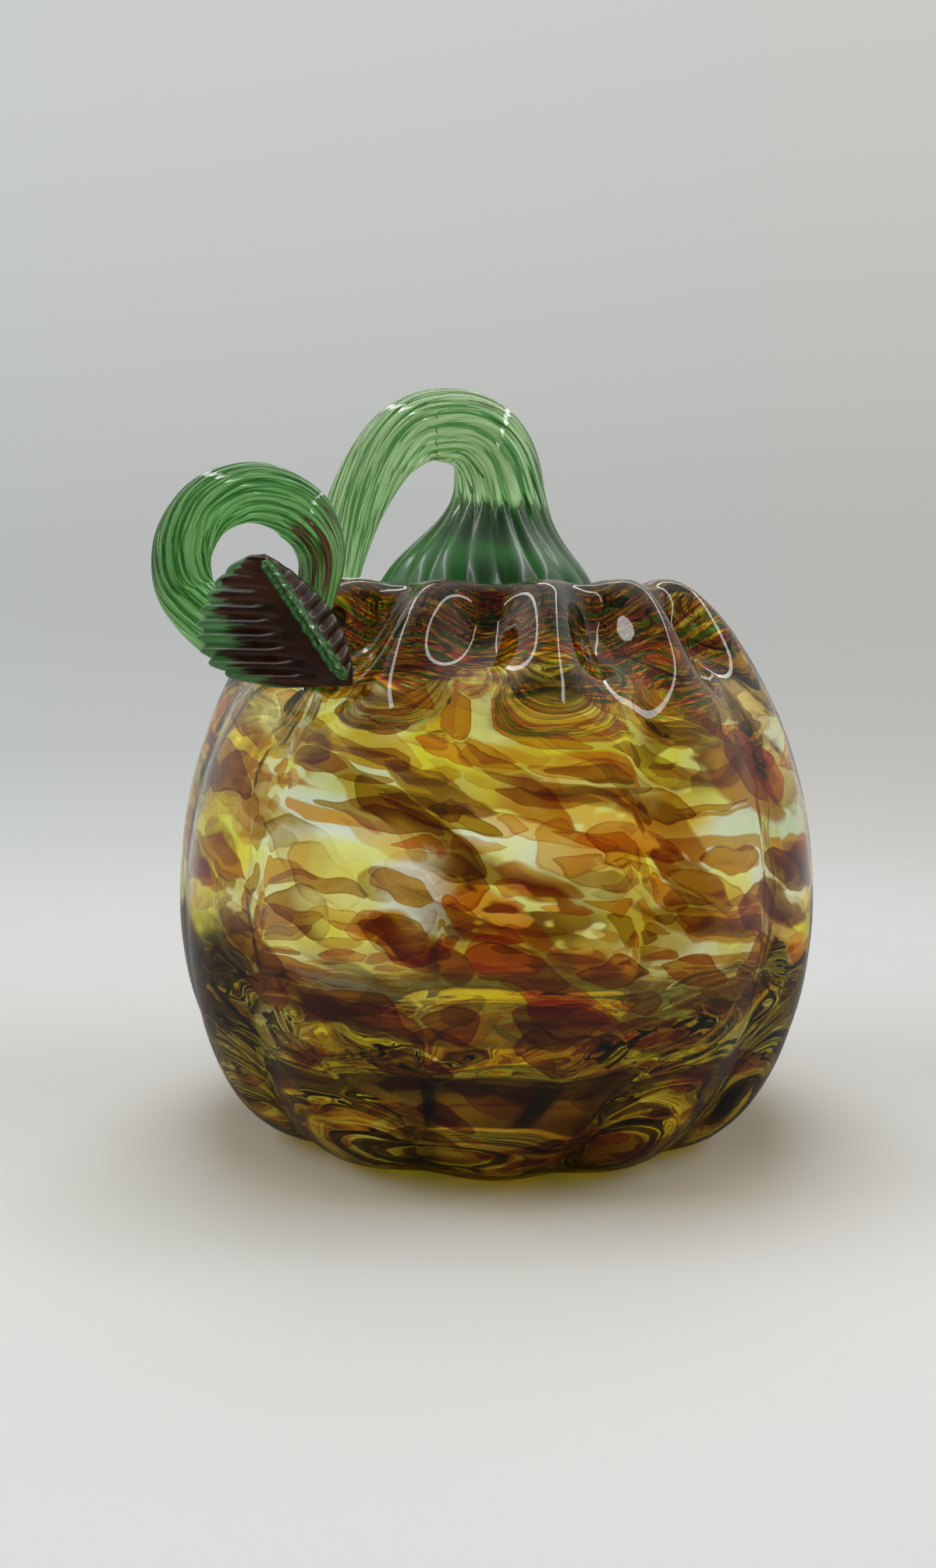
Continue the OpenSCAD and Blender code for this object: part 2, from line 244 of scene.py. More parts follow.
def makeBody():
    f = bodyForm
    curves = bodyProfile()
    last = len(curves) - 1
    startPiece()
    bpy.ops.curve.primitive_bezier_curve_add()
    piece = bpy.context.object
    spline = piece.data.splines[0]
    spline.bezier_points.add(last)
    piece.data.resolution_u = spline.resolution_u = f["curveSteps"]
    for i, point in enumerate(spline.bezier_points):
        here = curves[min(i, last)][0]
        at = here[0] if i <= last else here[3]
        before = curves[i - 1][0][2] if i else at
        after = here[1] if i <= last else at
        point.handle_left_type = point.handle_right_type = "FREE"
        point.co, point.handle_left, point.handle_right = [
            Vector((0, -p[0] * mm, p[1] * mm)) for p in (at, before, after)]
    bpy.ops.object.convert(target="MESH")
    piece = bpy.context.object
    piece.name = piece.data.name = "ribbedBody"
    place = piece.data.attributes.new("place", "FLOAT", "POINT")
    layer = piece.data.attributes.new("layer", "FLOAT", "POINT")
    for i in range(len(piece.data.vertices)):
        part, step = divmod(i, f["curveSteps"])
        span = curves[min(part, last)][1]
        offOutline = atSeat if part == seatCurve and not step else -1
        place.data[i].value = mix(*span, step / f["curveSteps"]) if span else offOutline
        layer.data[i].value = part
    editAll()
    bpy.ops.mesh.spin(steps=f["columns"], angle=2 * math.pi, center=(0, 0, 0), axis=(0, 0, 1),
                      use_auto_merge=True)
    bpy.ops.object.mode_set(mode="OBJECT")
    closeMesh()

    # the ribs are pressed in, and every wall gets a little of the hand's unevenness
    spots = readPlaces(piece) / mm
    s, part = [np.zeros(len(spots)) for _ in range(2)]
    piece.data.attributes["place"].data.foreach_get("value", s)
    piece.data.attributes["layer"].data.foreach_get("value", part)
    angle = np.degrees(np.arctan2(spots[:, 0], -spots[:, 1]))
    outer, inside = s >= 0, part >= firstInner
    spots[outer] = skin(angle[outer], s[outer])
    radius = np.hypot(spots[:, 0], spots[:, 1])
    height = spots[:, 2]
    table = np.linspace(1, atCrest, f["tableSteps"])
    nearS = np.interp(height, outlineAt(table)[:, 1], table)
    depth = foldDepth(nearS) * f["innerFold"] * (1 - ribShare(angle, nearS))
    depth *= smoothStep(radius, *f["innerFoldFrom"]) * inside
    waves = np.array([noise.noise(Vector(p) * f["waveScale"])
                      + f["fineShare"] * noise.noise(Vector(p) * f["fineScale"]) for p in spots])
    uneven = inside * f["innerWave"] + outer * (height > f["stillBelow"])
    depth += f["handWave"] * (waves + 1) * uneven * smoothStep(radius, *f["waveFrom"])
    keep = 1 - depth / np.maximum(radius, 1)
    spots[:, 0] *= keep
    spots[:, 1] *= keep
    spots[:, 2] = np.maximum(spots[:, 2], 0)   # ground flat where it stands
    writePlaces(piece, spots * mm)

    # what the glass reads: which wall, how near a fold, how far up the wall in millimetres
    onFloor = np.minimum(nearS, radius / ringRadius)
    nearS = np.where(outer, s, np.where(height < f["floorBelow"], onFloor, nearS))
    marks = {"lining": inside * 1.0, "fold": 1 - ribShare(angle, nearS),
             "climb": np.interp(nearS, range(len(f["climb"])), f["climb"])}
    for name, values in marks.items():
        piece.data.attributes.new(name, "FLOAT", "POINT").data.foreach_set("value", values)
    for name in ("place", "layer"):
        piece.data.attributes.remove(piece.data.attributes[name])
    return piece


# canes: a twisted, finely ribbed rod of solid glass
caneForm = {"ribs": 18, "groove": 0.05, "stepsPerRib": 9, "slim": 0.985}


def caneRings(centres, ways, radii, turns, u, grooves):
    # each point of a ring: side and up of its plane, with the ribs pressed into the radius
    side = unit(np.cross([0, 1, 0], ways))
    up = np.cross(ways, side)
    a = 2 * np.pi * u
    press = 1 - caneForm["groove"] * grooves * (1 - np.abs(np.sin(caneForm["ribs"] / 2 * a)))
    a = a - np.radians(turns)
    r = (radii * press * caneForm["slim"])[:, None]
    return centres + r * (side * np.cos(a)[:, None] + up * np.sin(a)[:, None])


stemForm = {
    "footDiameter": 53, "footX": -3, "diameter": 24.8, "archDiameter": 17.4, "tailDiameter": 13.2,
    "archHeight": 40.4, "archX": -14.5, "tailAngle": -103, "tailGap": 0.25, "endLift": 0.05, "twist": 120,
    "lean": 5.5, "archBow": 17.5, "tailBow": 12.5, "tailSwing": 3.9, "pull": 0.62, "tailPull": 0.44,
    "flare": 0.2, "upright": 0.3, "footGroove": 0.9, "grooveFrom": (0.15, 0.5),
    "plugLength": 4, "plugGap": 0.2, "plugLift": 0.1, "gap": 0.12, "rim": 0.9, "rimFade": 0.06,
    "rows": 230, "footRows": 0.06, "endRows": 0.02,
    "footStops": [0, 0.25, 0.55, 0.9, 1],   # axis, plug's edge, neck's mouth, underside's edge, rim
}


def makeStem():
    f = stemForm
    tail = offSkin(f["tailAngle"], atCrest, f["tailGap"])
    archTop = np.array([f["archX"], tail[1] / 4, seatZ + f["archHeight"]])
    rise = [[f["footX"], 0, seatZ], [f["footX"] + f["lean"], 0, seatZ + f["pull"] * f["archHeight"]],
            archTop + [f["archBow"], -tail[1] / 4, 0], archTop]
    fall = [archTop, archTop + [-f["tailBow"], tail[1] / 4, 0],
            tail + [f["tailSwing"], 0, f["tailPull"] * f["archHeight"]], tail]
    plugRadius = bodyForm["neckRadius"] - f["plugGap"]
    plugFloor = f["plugLift"] - f["plugLength"]
    footRadius = f["footDiameter"] / 2
    mouth, edge = f["footStops"][2:4]

    def place(u, v):
        # rows: plug's floor, plug's wall, foot's underside, then along the cane and over its end
        t = np.clip((v - f["footRows"]) / (1 - f["footRows"] - f["endRows"]) * 2, 0, 2)
        rising = t < 1
        early, late = np.minimum(t, 1), np.maximum(t - 1, 0)
        centre = np.where(rising[:, None], bezier(rise, early), bezier(fall, late))
        way = np.where(rising[:, None], bezierSlope(rise, early), bezierSlope(fall, late))
        level = np.clip(1 - np.minimum(t, 2 - t) / f["upright"], 0, 1)[:, None]
        ends = np.where(rising[:, None], [[0, 0, 1.0]], [[0, 0, -1.0]])
        way = unit(mix(unit(way), ends, level))
        flare = (f["footDiameter"] - f["diameter"]) / 2 * np.exp(-(t / f["flare"]) ** 2)
        radius = np.where(rising, mix(f["diameter"], f["archDiameter"], t) / 2 + flare,
                          mix(f["archDiameter"], f["tailDiameter"], t - 1) / 2)
        foot = v < f["footRows"]
        down = v / f["footRows"]
        underRadius = np.interp(down, f["footStops"],
                                [0, plugRadius, plugRadius, footRadius - f["rim"], footRadius])
        underZ = np.interp(down, f["footStops"], [plugFloor, plugFloor, f["gap"], f["gap"], f["rim"]])
        radius = np.where(foot, underRadius, radius)
        grooves = np.where(foot, f["footGroove"] * smoothStep(down, mouth, 1),
                           mix(f["footGroove"], 1, smoothStep(t, *f["grooveFrom"])))
        centre[foot, 2] = seatZ + underZ[foot]
        # the first ring stands on the underside's rim
        centre[:, 2] += np.where(foot, 0, f["rim"] * (1 - smoothStep(t, 0, f["rimFade"])))
        radius = radius * domed(np.maximum(1 - (1 - v) / f["endRows"], 0))
        centre[v > 1 - f["endRows"], 2] += f["endLift"]
        # plug and underside stand in the neck's middle
        offset = np.where(foot, 1 - smoothStep(down, mouth, edge), 0)
        centre[:, 0] = mix(centre[:, 0], 0, offset)
        return caneRings(centre, way, radius, f["twist"] * t / 2, u, grooves)

    return wrapGrid("twistedStem", caneForm["ribs"] * caneForm["stepsPerRib"], f["rows"], place)


tendrilForm = {
    "diameter": 13.4, "endDiameter": 7, "taperFrom": 0.76, "twist": 200, "gap": 0.25,
    "curlRadius": 16, "curlAngle": -58.5, "curlRise": 0.58, "pitch": 12, "lean": 2.6,
    "from": 205, "to": 5, "curlSteps": 5, "startTurn": 2, "startRise": 0.1, "sag": 1.8,
    "endAt": 0.5, "endAside": 3, "endBehind": 3.7,
    "rows": 260, "endRows": 0.02, "slopeStep": 0.002,
}
leafForm = {
    "length": 31, "wide": 24, "narrow": 7, "thick": 3, "angle": -30, "rise": 0.52, "gap": 0.25, "lift": 0.4,
    "frontTilt": 15, "backTilt": 42, "sweep": 0.6, "topSide": 4.5, "topUp": 3,
    "rib": 1.2, "ribs": 9, "slant": 0.05, "tooth": 0.06, "flat": 0.2, "ramp": 0.25,
    "frontSkew": 0.5, "backSkew": 0.9, "frontFullness": 0.58, "backFullness": 0.8,
    "end": 1.08, "margin": 0.012, "sideRound": 6, "endRound": 10, "columns": 200, "rows": 240,
}
curlFoot = offSkin(tendrilForm["curlAngle"], atWaist + tendrilForm["curlRise"],
                   tendrilForm["diameter"] / 2 + tendrilForm["gap"])
curlCentre = curlFoot + [tendrilForm["lean"], 0, tendrilForm["curlRadius"]]
leafAt = np.asarray(atWaist + leafForm["rise"])
leafOutward = around(leafForm["angle"], outlineNormal(leafAt))
leafRest = skin(np.asarray(float(leafForm["angle"])), leafAt) + leafOutward * leafForm["gap"]
leafTip = leafRest + [0, -leafForm["thick"] - leafForm["lift"], 0]
leafFront = (tendrilForm["pitch"] / 2 + tendrilForm["diameter"] / 2 + leafForm["gap"] + leafForm["thick"]
             + leafForm["narrow"] * math.sin(math.radians(leafForm["backTilt"])))
leafTop = curlCentre + [leafForm["topSide"], -leafFront, leafForm["topUp"]]
leafAlong = unit(leafTop - leafTip)
leafOut = unit(np.cross(np.cross(leafAlong, [0, -1, 0]), leafAlong))
leafSide = np.cross(leafAlong, leafOut)


def tilted(sign, tilt, sweep=0):
    t = math.radians(tilt)
    return leafAlong * sweep + leafSide * sign * math.cos(t) - leafOut * math.sin(t)


frontWay = tilted(-1, leafForm["frontTilt"], leafForm["sweep"])
backWay = tilted(1, leafForm["backTilt"])


def makeTendril():
    f = tendrilForm
    r, endRadius = f["diameter"] / 2, f["endDiameter"] / 2
    start = offSkin(f["curlAngle"] + f["startTurn"], atWaist + f["curlRise"] + f["startRise"],
                    r + f["gap"] + f["sag"])
    curl = []
    for i in range(f["curlSteps"] + 1):
        share = i / f["curlSteps"]
        a = math.radians(mix(f["from"], f["to"], share))
        curl.append(curlCentre + [f["curlRadius"] * math.cos(a), f["pitch"] * (0.5 - share),
                                  f["curlRadius"] * math.sin(a)])
    end = (leafTip + leafForm["length"] * f["endAt"] * leafAlong - leafSide * f["endAside"]
           - leafOut * (endRadius + leafForm["thick"] + f["endBehind"]))
    points = np.array([start, curlFoot, *curl, end])
    n = len(points) - 1

    def pathAt(t):
        i = np.minimum(np.floor(t * n), n - 1).astype(int)
        a, b = points[np.maximum(i - 1, 0)], points[i]
        c, d = points[i + 1], points[np.minimum(i + 2, n)]
        return bezier([b, b + (c - a) / 6, c - (d - b) / 6, c], t * n - i)

    def place(u, v):
        t = np.clip((v - f["endRows"]) / (1 - 2 * f["endRows"]), 0, 1)
        way = unit(pathAt(np.minimum(t + f["slopeStep"], 1)) - pathAt(np.maximum(t - f["slopeStep"], 0)))
        radius = mix(r, endRadius, np.clip((t - f["taperFrom"]) / (1 - f["taperFrom"]), 0, 1))
        radius = radius * domed(np.maximum(1 - np.minimum(v, 1 - v) / f["endRows"], 0))
        return caneRings(pathAt(t), way, radius, f["twist"] * t, u, np.ones_like(u))

    return wrapGrid("curledTendril", caneForm["ribs"] * caneForm["stepsPerRib"], f["rows"], place)


def leafPoint(u, w):
    f = leafForm
    skew = np.where(w > 0, f["frontSkew"], f["backSkew"])
    full = np.where(w > 0, f["frontFullness"], f["backFullness"])
    half = np.maximum(np.sin(np.pi * (np.clip(u, 0, f["end"]) / f["end"]) ** skew), 0) ** full
    ridges = np.abs(np.sin(np.pi * f["ribs"] * (u - f["slant"] * np.abs(w))))
    span = half * (1 - f["tooth"] * (1 - ridges)) * np.abs(w)
    press = f["rib"] * (1 - ridges) * np.clip((np.abs(w) - f["flat"]) / f["ramp"], 0, 1) * half
    ways = np.where((w > 0)[:, None], f["wide"] * frontWay, f["narrow"] * backWay)
    return leafTip + leafAlong * (f["length"] * u)[:, None] + span[:, None] * ways - leafOut * press[:, None]


def makeLeaf():
    f = leafForm

    def place(x, y):
        # x runs over the face and back under it, y from the tip to the top
        u = mix(f["margin"], f["end"] - f["margin"], y)
        over = x < 0.5
        w = np.where(over, mix(-1, 1, x * 2), mix(1, -1, x * 2 - 1))
        w = np.sign(w) * np.abs(np.sin(w * np.pi / 2))
        rim = domed(w, f["sideRound"]) * domed(2 * y - 1, f["endRound"])
        sink = f["thick"] * np.where(over, 0.5 - 0.5 * rim, 0.5 + 0.5 * rim)
        return leafPoint(u, w) - leafOut * sink[:, None]

    return wrapGrid("pressedLeaf", f["columns"], f["rows"], place)


beadForm = {
    "diameter": 4.2, "taper": 0.9, "first": 0.06, "last": 1.02, "seat": 0.2, "slim": 0.96, "height": 1.1,
    "lumps": 9.5, "lumpDepth": 0.16, "lumpSway": 0.35, "swayRate": 7, "grainDepth": 0.06, "grainRate": 31,
    "endRound": 14, "columns": 48, "rows": 160,
}


def makeBead():
    f = beadForm

    def place(x, y):
        u = mix(f["first"], f["last"], y)
        sway = f["lumpSway"] * np.sin(f["swayRate"] * y)
        lumps = (1 - f["lumpDepth"] * np.abs(np.sin(np.pi * (f["lumps"] * y + sway)))
                 - f["grainDepth"] * np.sin(f["grainRate"] * y) ** 2)
        r = f["diameter"] / 2 * mix(f["taper"], 1, u) * lumps * domed(2 * y - 1, f["endRound"])
        seatLine = leafTip + leafAlong * (leafForm["length"] * u)[:, None] + leafOut * f["seat"]
        a = 2 * np.pi * x
        c, s = np.cos(a), np.sin(a)
        flat = np.where(c[:, None] > 0, backWay, frontWay) * (f["slim"] * np.abs(c))[:, None]
        rise = np.where(a < np.pi, f["height"] * s, 0)
        return seatLine + r[:, None] * (flat + leafOut * rise[:, None])

    return wrapGrid("midribBead", f["columns"], f["rows"], place)


# materials: small helpers for wiring nodes
def feed(tree, socket, value):
    if hasattr(value, "is_output"):
        tree.links.new(value, socket)
    else:
        socket.default_value = value


def wire(tree, step, *terms):
    for socket, term in zip(step.inputs, terms):
        feed(tree, socket, term)
    return step.outputs


def calc(tree, task, *terms):
    step = tree.nodes.new("ShaderNodeMath")
    step.operation = task
    return wire(tree, step, *terms)[0]


def times(tree, a, b):
    return calc(tree, "MULTIPLY", a, b)


def vector(tree, task, *terms):
    step = tree.nodes.new("ShaderNodeVectorMath")
    step.operation = task
    return wire(tree, step, *terms)["Value" if task == "LENGTH" else "Vector"]


def scaled(tree, value, factor):
    return vector(tree, "MULTIPLY", value, (factor,) * 3)


def parts(tree, value):
    return wire(tree, tree.nodes.new("ShaderNodeSeparateXYZ"), value)


def joined(tree, x, y, z):
    return wire(tree, tree.nodes.new("ShaderNodeCombineXYZ"), x, y, z)[0]


def between(tree, value, low, high, start=0.0, end=1.0):
    step = tree.nodes.new("ShaderNodeMapRange")
    step.interpolation_type = "SMOOTHSTEP"
    return wire(tree, step, value, low, high, start, end)[0]


def colour(c):
    return (*c, 1) if isinstance(c, tuple) and len(c) == 3 else c


def blend(tree, style, share, a, b):
    step = tree.nodes.new("ShaderNodeMix")
    step.data_type, step.blend_type = "RGBA", style
    # by number, because the names repeat for each kind of data
    feed(tree, step.inputs[0], share)
    feed(tree, step.inputs[6], colour(a))
    feed(tree, step.inputs[7], colour(b))
    return step.outputs[2]


def ramp(tree, share, stops, style="LINEAR"):
    step = tree.nodes.new("ShaderNodeValToRGB")
    band = step.color_ramp
    band.interpolation = style
    while len(band.elements) < len(stops):
        band.elements.new(0.5)
    for element, (at, tint) in zip(band.elements, stops):
        element.position, element.color = at, colour(tint)
    feed(tree, step.inputs[0], share)
    return step.outputs[0]


def cloud(tree, place, scale, detail=2.0, rough=0.5, out=0):
    step = tree.nodes.new("ShaderNodeTexNoise")
    for key, value in (("Vector", place), ("Scale", scale), ("Detail", detail), ("Roughness", rough)):
        feed(tree, step.inputs[key], value)
    return step.outputs[out]


def newGroup(name, inputs, outputs):
    tree = bpy.data.node_groups.new(name, "ShaderNodeTree")
    for way, labels in (("INPUT", inputs), ("OUTPUT", outputs)):
        for label in labels.split():
            kind = "NodeSocketVector" if label == "Map" else "NodeSocketFloat"
            tree.interface.new_socket(label, in_out=way, socket_type=kind)
    return tree, tree.nodes.new("NodeGroupInput").outputs, tree.nodes.new("NodeGroupOutput").inputs


def useGroup(tree, group, **values):
    step = tree.nodes.new("ShaderNodeGroup")
    step.node_tree = group
    for key, value in values.items():
        feed(tree, step.inputs[key], value)
    return step.outputs


def newMaterial(name):
    material = bpy.data.materials.new(name)
    material.use_nodes = True
    return material, material.node_tree, material.node_tree.nodes["Principled BSDF"]


def glassMaterial(name, tint, roughness=0.0, transmission=1.0):
    material, tree, shader = newMaterial(name)
    shader.inputs["Base Color"].default_value = colour(tint)
    shader.inputs["Roughness"].default_value = roughness
    shader.inputs["IOR"].default_value = glassIor
    shader.inputs["Transmission Weight"].default_value = transmission
    return material, tree, shader


def letLampsThrough(tree, shader, tint):
    # a lamp's ray keeps the wall's tint, so the shadow is coloured
    path = tree.nodes.new("ShaderNodeLightPath")
    root = wire(tree, tree.nodes.new("ShaderNodeGamma"), tint, 0.5)[0]
    clear = wire(tree, tree.nodes.new("ShaderNodeBsdfTransparent"), root)[0]
    choose = tree.nodes.new("ShaderNodeMixShader")
    seen = wire(tree, choose, path.outputs["Is Shadow Ray"], shader.outputs[0], clear)[0]
    tree.links.new(seen, tree.nodes["Material Output"].inputs["Surface"])


def objectPlace(tree):
    coords = tree.nodes.new("ShaderNodeTexCoord")
    return scaled(tree, coords.outputs["Object"], 1 / mm)


chipForm = {   # in shares of a brick; the first three give what luck adds, and the least
    "halfLength": (0.17, 0.32), "halfWidth": (0.20, 0.29), "soft": (0.3, 0.03), "softPower": 3.0,
    "swellPower": 0.75, "lean": 0.9, "full": 0.7, "pointed": 0.12, "rim": (0.05, 0.16), "depth": 0.4,
    "luckShifts": (0.5, 200.5, 400.5),
}


def makeChipGroup():
    # shards of colour scattered over a round wall: rows of bricks, a whole leaf shape in each
    f = chipForm
    tree, given, out = newGroup("colourChips", "Girth Climb Around Row Cover Seed", "Mask Rim Tone Depth")

    def do(task, *terms):
        return calc(tree, task, *terms)

    def centred(value):
        return do("SUBTRACT", value, 0.5)

    q = do("DIVIDE", given["Climb"], given["Row"])
    row = do("FLOOR", q)
    p = do("MULTIPLY_ADD", given["Girth"], given["Around"], do("MULTIPLY", row, 0.5))
    brick = do("FLOOR", p)
    x = centred(do("SUBTRACT", p, brick))
    y = centred(do("SUBTRACT", q, row))
    brick = do("FLOORED_MODULO", brick, given["Around"])   # the brick across the back seam is one brick

    def luck(shift):
        step = tree.nodes.new("ShaderNodeTexWhiteNoise")
        seed = joined(tree, do("ADD", brick, shift), do("ADD", row, 0.5), given["Seed"])
        feed(tree, step.inputs["Vector"], seed)
        return parts(tree, step.outputs["Color"])

    (longness, wideness, aside), (upward, lopside, softness), (there, tone, _) = map(luck, f["luckShifts"])
    halfLength = do("MULTIPLY_ADD", longness, *f["halfLength"])
    halfWidth = do("MULTIPLY_ADD", wideness, *f["halfWidth"])
    roomX = do("MULTIPLY_ADD", halfLength, -2.0, 1.0)
    roomY = do("MULTIPLY_ADD", halfWidth, -2.0, 1.0)
    x = do("SUBTRACT", x, do("MULTIPLY", centred(aside), roomX))
    y = do("SUBTRACT", y, do("MULTIPLY", centred(upward), roomY))
    endways = do("DIVIDE", x, halfLength)
    sideways = do("ABSOLUTE", do("DIVIDE", y, halfWidth))
    dome = do("MULTIPLY_ADD", do("MULTIPLY", endways, endways), -1.0, 1.0)
    swell = do("POWER", do("MAXIMUM", dome, 0.0), f["swellPower"])
    slope = do("MULTIPLY", centred(lopside), endways)
    lean = do("MULTIPLY_ADD", slope, f["lean"], 1.0)
    inside = do("SUBTRACT", do("MULTIPLY", do("MULTIPLY", swell, lean), f["full"]), sideways)
    soft = do("MULTIPLY_ADD", do("POWER", softness, f["softPower"]), *f["soft"])
    mask = do("MULTIPLY", between(tree, inside, 0.0, soft), do("LESS_THAN", there, given["Cover"]))
    mask = do("MULTIPLY", mask, between(tree, swell, 0.0, f["pointed"]))
    rim = do("MULTIPLY", mask, between(tree, inside, *f["rim"], 1.0, 0.0))
    depth = between(tree, slope, -f["depth"], f["depth"])
    for socket, value in zip(out, (mask, rim, tone, depth)):
        feed(tree, socket, value)
    return tree


chipGroup = makeChipGroup()
bodyLook = {   # every tint is what one wall lets through
    "plain": (0.9, 0.9, 0.6),
    "outerChips": [   # bricks around, row height, slope, cover, seed, lowest and highest on the wall
        (12, 20, 0.50, 0.60, 1, 124, 205), (13, 17, 0.55, 0.60, 2, 118, 205),
        (14, 15, 0.42, 0.60, 3, 106, 184), (16, 13, 0.30, 0.60, 4, 92, 165),
        (18, 12, 0.18, 0.60, 5, 78, 145), (22, 10, 0.08, 0.58, 6, 52, 128),
        (27, 8, 0.02, 0.58, 7, 26, 118), (33, 6, -0.04, 0.55, 8, 44, 112),
    ],
    "innerChips": [(16, 13, 0.35, 0.50, 11, 60, 195)],
    "chipFade": 14.0, "thickShare": 0.55, "rim": (0.66, 0.56, 0.42), "rimShare": 0.8,
    "tints": [(0.0, (0.78, 0.48, 0.05)), (0.18, (0.62, 0.40, 0.06)), (0.34, (0.90, 0.70, 0.36)),
              (0.46, (0.64, 0.52, 0.07)), (0.58, (0.88, 0.46, 0.04)), (0.70, (0.70, 0.38, 0.05)),
              (0.82, (0.82, 0.64, 0.26)), (0.92, (0.52, 0.31, 0.06))],
    "ground": [(0.36, (0.88, 0.96, 0.78)), (0.44, (0.98, 0.99, 0.93)), (0.52, (0.99, 0.96, 0.34)),
               (0.62, (0.97, 0.90, 0.10)), (0.74, (0.88, 0.95, 0.62))],
    "groundScale": 0.022, "groundDetail": 1.5, "groundStretch": (1, 1, 1.7),
    "warpScale": 0.05, "warp": 14.0, "climbWarp": 12.0, "sway": 30.0,
    "streaks": [(0.30, (0.10, 0.30, 0.08)), (0.36, (0.07, 0.05, 0.03)), (0.41, (0.50, 0.09, 0.04)),
                (0.44, (0.09, 0.06, 0.04)), (0.47, (0.96, 0.72, 0.08)), (0.485, (0.40, 0.12, 0.05)),
                (0.51, (0.10, 0.07, 0.04)), (0.535, (0.14, 0.34, 0.10)), (0.555, (0.10, 0.08, 0.05)),
                (0.575, (0.94, 0.46, 0.06)), (0.595, (0.42, 0.08, 0.04)), (0.64, (0.08, 0.07, 0.04)),
                (0.69, (0.92, 0.90, 0.30))],
    "streakGrain": (0.024, 0.024, 0.22), "streakDetail": 4.0, "streakRough": 0.58,
    "streakFrom": (160.0, 169.0),
    "fingers": 44.0, "fingerScale": 0.06, "fingerDetail": 1.0, "fingerStretch": (1, 1, 3),
    "windows": [   # across, height, half width, half height, front -1 or back 1, ground, share of chips left
        (-25, 68, 19, 17, -1, (0.97, 1.0, 0.96), 0.2), (-24, 40, 23, 18, 1, (0.97, 1.0, 0.94), 0.25),
        (-4, 106, 26, 11, -1, (0.98, 0.97, 0.40), 0.25), (6, 94, 32, 12, -1, (0.98, 0.96, 0.34), 0.35),
        (-45, 101, 16, 9, -1, (0.93, 0.96, 0.62), 0.35),
    ],
    "stainsAndShade": [   # the same places, with the tint laid over
        (27, 79, 24, 13, -1, (0.95, 0.66, 0.28)), (5, 64, 30, 12, -1, (0.40, 0.26, 0.08)),
        # (-64, 40) and (69, 24), dark and low at the left and right edges, are painted shade where the thick
        # wall shows dark edge-on
        (14, 56, 44, 10, -1, (0.72, 0.54, 0.20)), (-64, 40, 18, 26, -1, (0.22, 0.20, 0.13)),
        (69, 24, 13, 18, -1, (0.30, 0.22, 0.14)), (44, 100, 25, 16, -1, (0.44, 0.32, 0.10)),
        (-50, 90, 19, 12, -1, (0.74, 0.54, 0.22)),
    ],
    "spotEdge": (1.0, 0.45), "spotDepth": 20.0,
    "smearScale": 0.06, "smearStretch": (1, 1, 2.5), "smearFrom": (0.40, 0.43),
    # low on the wall, each with the stretch of the climb where it sets in
    "lowTint": (0.80, 0.63, 0.14), "lowFrom": (104.0, 70.0),
    "lowPatch": (0.50, 0.34, 0.12), "patchScale": 0.045, "patchFrom": (0.48, 0.60),
    "footRim": (0.32, 0.29, 0.16), "footRimFrom": (84.0, 62.0), "footRimTo": (34.0, 50.0),
    # foldLine and star: dark lines along the folds, low on the wall and under the base, are painted shade of
    # the creases
    "foldLine": (0.42, 0.42, 0.26), "foldLineAt": (0.62, 0.88), "foldLineFrom": (105.0, 80.0),
    "star": (0.24, 0.24, 0.16), "starAt": (0.70, 0.90), "starFrom": (62.0, 46.0),
    "lining": (0.99, 0.99, 0.98), "liningFloor": (0.88, 0.74, 0.30), "liningFrom": (90.0, 50.0),
    "absorb": (0.66, 0.64, 0.26), "absorbDensity": 16.0, "glow": (0.66, 0.60, 0.08), "glowShare": 0.8,
}


def oneWall(tint):
    return tuple(c * c for c in tint)   # the shader shows the root of its colour at each wall


def wallStops(key):
    return [(at, oneWall(tint)) for at, tint in bodyLook[key]]


def attribute(tree, name):
    step = tree.nodes.new("ShaderNodeAttribute")
    step.attribute_name = name
    return step.outputs["Fac"]


def nearSpot(tree, place, across, height, halfWidth, halfHeight, side):
    x, y, z = parts(tree, place)
    off = vector(tree, "SUBTRACT", joined(tree, x, 0.0, z), (across, 0, height))
    away = vector(tree, "LENGTH", vector(tree, "DIVIDE", off, (halfWidth, 1, halfHeight)))
    return times(tree, between(tree, away, *bodyLook["spotEdge"]),
                 between(tree, y, 0.0, bodyLook["spotDepth"] * side))


def chipped(tree, girth, climb, x, tint, layers, keep=1.0):
    look = bodyLook
    for bricks, row, slope, cover, seed, low, high in layers:
        chip = useGroup(tree, chipGroup, Girth=girth, Climb=calc(tree, "MULTIPLY_ADD", x, slope, climb),
                        Around=float(bricks), Row=float(row), Cover=cover, Seed=float(seed))
        zone = times(tree, between(tree, climb, low, low + look["chipFade"]),
                     between(tree, climb, high, high - look["chipFade"]))
        zone = times(tree, zone, keep)
        mask = times(tree, chip["Mask"], zone)
        patchTint = ramp(tree, chip["Tone"], wallStops("tints"), "CONSTANT")
        tint = blend(tree, "MULTIPLY", mask, tint, patchTint)
        thick = times(tree, mask, times(tree, chip["Depth"], look["thickShare"]))
        tint = blend(tree, "MULTIPLY", thick, tint, patchTint)
        line = times(tree, times(tree, chip["Rim"], zone), look["rimShare"])
        tint = blend(tree, "MULTIPLY", line, tint, oneWall(look["rim"]))
    return tint


def shoulderStreaks(tree, place, climb):
    look = bodyLook
    x, y, _ = parts(tree, place)
    grain = vector(tree, "MULTIPLY", joined(tree, x, y, climb), look["streakGrain"])
    lines = cloud(tree, grain, 1.0, look["streakDetail"], look["streakRough"])
    return ramp(tree, lines, wallStops("streaks"))


